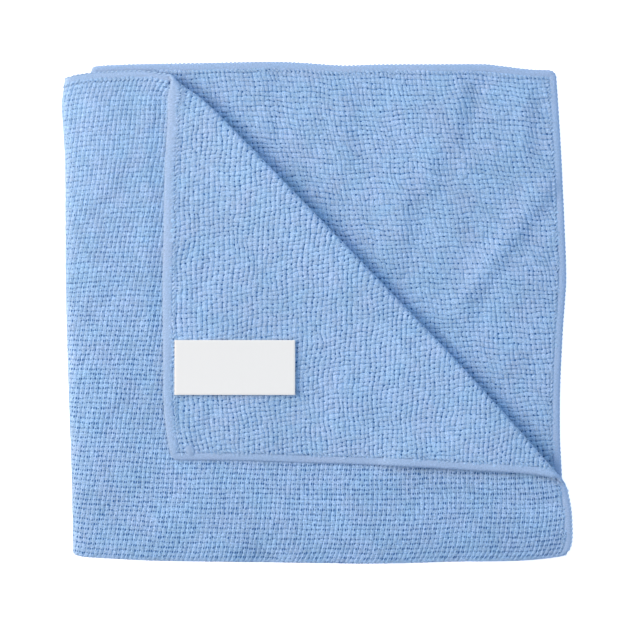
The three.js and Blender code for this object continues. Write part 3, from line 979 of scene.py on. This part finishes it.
def make_stitches(name, face, stitch, material):
    """A row of stitches along the hem, one for each wrap, on one face of the cloth."""
    number = np.arange(4 * HEM_WRAPS)
    side = number // HEM_WRAPS
    along = 2 * (number % HEM_WRAPS + 0.5) / HEM_WRAPS - 1
    from_edge = stitch["hem_widths"] * hem_width(side, along) + stitch["inset"]

    lengthwise, sideways, upward, skin = capsule()
    lengthwise = lengthwise * stitch["length"] / 2
    sideways = sideways * stitch["radius"]
    slant = stitch["slant"]
    inward = lengthwise * math.sin(slant) + sideways * math.cos(slant)
    onward = lengthwise * math.cos(slant) - sideways * math.sin(slant)
    middle = HALF_SIDE - from_edge
    s, t = round_the_edge(side, middle[:, None] - inward, (along * middle)[:, None] + onward)
    height = face * (stitch["height"] + upward * stitch["radius"])
    points = off_cloth(s, t, np.tile(height, len(number)))

    if face > 0:
        skin = skin[:, ::-1]
    triangles = (skin[None] + len(lengthwise) * number[:, None, None]).reshape(-1, 3)
    return make_piece(name, points, triangles, material)


def make_hem_tail(material):
    """The end of the hem's thread chain, sewn back flat over the hem beside one corner."""
    rings = np.linspace(0, 1, TAIL_RINGS)
    turn = 2 * math.pi * np.arange(TAIL_RING_POINTS) / TAIL_RING_POINTS
    reach = np.sin(rings * math.pi / 2)
    rise = TAIL_RISE * np.cos(rings * math.pi / 2)
    s = HALF_SIDE - TAIL_CENTRE[0] + TAIL_REACH[0] * np.outer(reach, np.cos(turn))
    t = HALF_SIDE - TAIL_CENTRE[1] + TAIL_REACH[1] * np.outer(reach, np.sin(turn))
    top = np.broadcast_to((TAIL_FOOT + rise)[:, None], s.shape)
    foot = np.broadcast_to(LOOP_FOOT, s[-1:].shape)
    s = np.concatenate([s, s[-1:]])
    t = np.concatenate([t, t[-1:]])
    height = np.concatenate([top, foot])
    points = off_cloth(s.ravel(), t.ravel(), -height.ravel())
    triangles = grid_triangles(len(s), len(turn), wrap_columns=True)
    wrap = np.outer(np.ones(len(s)), turn) * 2
    across = HEM_WIDTH / 2 * np.ones_like(wrap)
    flat_map = np.stack([wrap.ravel(), across.ravel()], axis=-1)
    return make_piece("hem_tail", points, triangles[:, ::-1], material,
                      flat_maps={"flat": flat_map})


# ---- The label ----

def label_lines(length, count):
    """Grid lines across one side of the label, the outer ones close together at its rim."""
    flat_end = length / 2 - LABEL_RIM
    return np.concatenate([[-length / 2], np.linspace(-flat_end, flat_end, count - 2), [length / 2]])


def make_label(material):
    """A plain white ribbon beside the hem, a little lifted at its right end and its lower edge."""
    a, b = np.meshgrid(label_lines(LABEL_LENGTH, LABEL_COLUMNS),
                       label_lines(LABEL_WIDTH, LABEL_ROWS), indexing="ij")
    free_end = np.clip(a / LABEL_LENGTH + 0.5, 0, 1)
    low_edge = np.clip(0.5 - b / LABEL_WIDTH, 0, 1)
    middle = np.stack([
        LABEL_CENTRE[0] + a,
        LABEL_CENTRE[1] + b,
        np.full_like(a, STACK_HEIGHT + LAYER_STEP),
    ], axis=-1)
    middle = lift_by_ridges(middle)
    middle[..., 2] += LABEL_CLEARANCE + LABEL_THICKNESS / 2
    middle[..., 2] += LABEL_FREE_END_LIFT * free_end ** 2 + LABEL_LOW_EDGE_LIFT * low_edge ** 2

    thickness = np.full(a.shape, LABEL_THICKNESS)
    thickness[[0, -1], :] *= LABEL_RIM_THICKNESS
    thickness[1:-1, [0, -1]] *= LABEL_RIM_THICKNESS
    half = (thickness / 2)[..., None] * np.array([0, 0, 1])
    points = np.concatenate([(middle + half).reshape(-1, 3), (middle - half).reshape(-1, 3)])
    triangles = closed_sheet(grid_triangles(LABEL_COLUMNS, LABEL_ROWS), a.size)
    flat_map = np.tile(np.stack([a.ravel(), b.ravel()], axis=-1), (2, 1))
    return make_piece("label_ribbon", points, triangles, material,
                      flat_maps={"flat": flat_map * MM})


# ---- The studio ----

FRAME_PIXELS = 640
MM_PER_PIXEL = 0.405
CAMERA_HEIGHT = 1200
VIEW_CENTRE = (1.7, -2.8)
SENSOR = 36
# The floor and the lights are in metres.
FLOOR_REACH = 3
FLOOR_WHITE = (0.95, 0.95, 0.95, 1)
FLOOR_ROUGHNESS = 0.9
FLOOR_GLOW = (1, 0.93, 0.9, 1)
FLOOR_GLOW_STRENGTH = 0.62
KEY_LIGHT = {
    "location": (-1.10, 0.20, 0.87), "size": 0.85, "power": 25, "colour": (1.0, 0.79, 0.56),
}
FILL_LIGHT = {
    "location": (0.2, 1.3, 0.95), "size": 1.2, "power": 7.5, "colour": (0.72, 0.92, 1.02),
}
SKY_COLOUR = (0.71, 0.96, 1.20, 1)
SKY_STRENGTH = 0.58


def make_camera():
    """Straight above the cloth, far enough away to flatten it."""
    camera_data = bpy.data.cameras.new("camera")
    frame_width = FRAME_PIXELS * MM_PER_PIXEL
    camera_data.sensor_width = SENSOR
    camera_data.lens = SENSOR * (CAMERA_HEIGHT - STACK_HEIGHT) / frame_width
    camera = bpy.data.objects.new("camera", camera_data)
    camera.location = (VIEW_CENTRE[0] * MM, VIEW_CENTRE[1] * MM, CAMERA_HEIGHT * MM)
    bpy.context.scene.collection.objects.link(camera)
    bpy.context.scene.camera = camera


def make_floor():
    """A pale floor that glows a little, so that it comes out white all over."""
    mesh = bpy.data.meshes.new("floor")
    corners = [(-1, -1), (1, -1), (1, 1), (-1, 1)]
    mesh.from_pydata([(x * FLOOR_REACH, y * FLOOR_REACH, 0) for x, y in corners], [], [(0, 1, 2, 3)])
    material = bpy.data.materials.new("floor")
    material.use_nodes = True
    shader = material.node_tree.nodes["Principled BSDF"]
    shader.inputs["Base Color"].default_value = FLOOR_WHITE
    shader.inputs["Roughness"].default_value = FLOOR_ROUGHNESS
    shader.inputs["Emission Color"].default_value = FLOOR_GLOW
    shader.inputs["Emission Strength"].default_value = FLOOR_GLOW_STRENGTH
    mesh.materials.append(material)
    floor = bpy.data.objects.new("floor", mesh)
    bpy.context.scene.collection.objects.link(floor)


def add_area_light(name, location, size, power, colour):
    """A soft square light that faces the cloth."""
    light_data = bpy.data.lights.new(name, "AREA")
    light_data.size = size
    light_data.energy = power
    light_data.color = colour
    light = bpy.data.objects.new(name, light_data)
    light.location = location
    light.rotation_euler = (-light.location).to_track_quat("-Z", "Y").to_euler()
    bpy.context.scene.collection.objects.link(light)


def make_studio():
    """A soft warm key light from the left, and a cool fill from the far side and all round."""
    make_floor()
    add_area_light("key", **KEY_LIGHT)
    add_area_light("fill", **FILL_LIGHT)
    world = bpy.data.worlds.new("studio")
    world.use_nodes = True
    background = world.node_tree.nodes["Background"]
    background.inputs["Color"].default_value = SKY_COLOUR
    background.inputs["Strength"].default_value = SKY_STRENGTH
    bpy.context.scene.world = world
    bpy.context.scene.view_settings.view_transform = "Standard"


# ---- Putting it together ----

def make_knit():
    """The loops of every face that shows, as one mesh for each."""
    outer = knit_material("knit_outer", OUTER_BLUE, OUTER_HOLES, OUTER_STREAKS)
    inner = knit_material("knit_inner", INNER_BLUE, INNER_HOLES, INNER_STREAKS)
    random = np.random.default_rng(SEED)
    inside = HALF_SIDE - KNIT_INSET
    under_flap = FLAP_FOLD_RADIUS + HALF_THICKNESS - KNIT_UNDER_FLAP

    def past(s, t):
        return past_flap_fold(fold_in_quarters(s, t))

    def on_strips(s, t):
        on_one = (s < STRIP_WIDTH) | (t < STRIP_HEIGHT)
        return on_one & (s > -SECOND_FOLD_REACH) & (s < inside) & (t < inside) & (past(s, t) < 0)

    def on_turned_corner(s, t):
        return (s < inside) & (t < inside) & (past(s, t) > -KNIT_INTO_FLAP_FOLD)

    def on_second_layer(s, t):
        return (s < inside) & (t > -inside) & (past(s, t) > under_flap)

    def on_underside(s, t):
        return (s > -inside) & (s < -SECOND_FOLD_REACH) & (t < inside)

    top_rows = (-KNIT_PAST_BOTTOM_FOLD, inside)
    return [
        make_knit_face("knit_strips", random, 1, (-SECOND_FOLD_REACH, inside), top_rows, on_strips,
                       OUTER_LOOP, OUTER_UNEVENNESS, outer),
        make_knit_face("knit_turned_corner", random, -1, (0, inside), (0, inside), on_turned_corner,
                       INNER_LOOP, INNER_UNEVENNESS, inner),
        make_knit_face("knit_second_layer", random, -1, (0, inside), (-inside, 0), on_second_layer,
                       INNER_LOOP, INNER_UNEVENNESS, inner),
        make_knit_face("knit_underside", random, 1, (-inside, -SECOND_FOLD_REACH), top_rows,
                       on_underside, OUTER_LOOP, OUTER_UNEVENNESS, outer, COARSE_CELL),
    ]


cloth = make_ground(ground_material())
loops = make_knit()
hem_thread = hem_material()
hem = make_hem(hem_thread)
thread = stitch_material()
stitches = [
    make_stitches("outer_stitches", 1, HEM_STITCH, thread),
    make_stitches("inner_stitches", -1, HEM_STITCH, thread),
    make_stitches("edge_beads", -1, EDGE_BEAD, thread),
]
tail = make_hem_tail(hem_thread)
label = make_label(label_material())

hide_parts("cloth")
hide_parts("label")

make_camera()
make_studio()
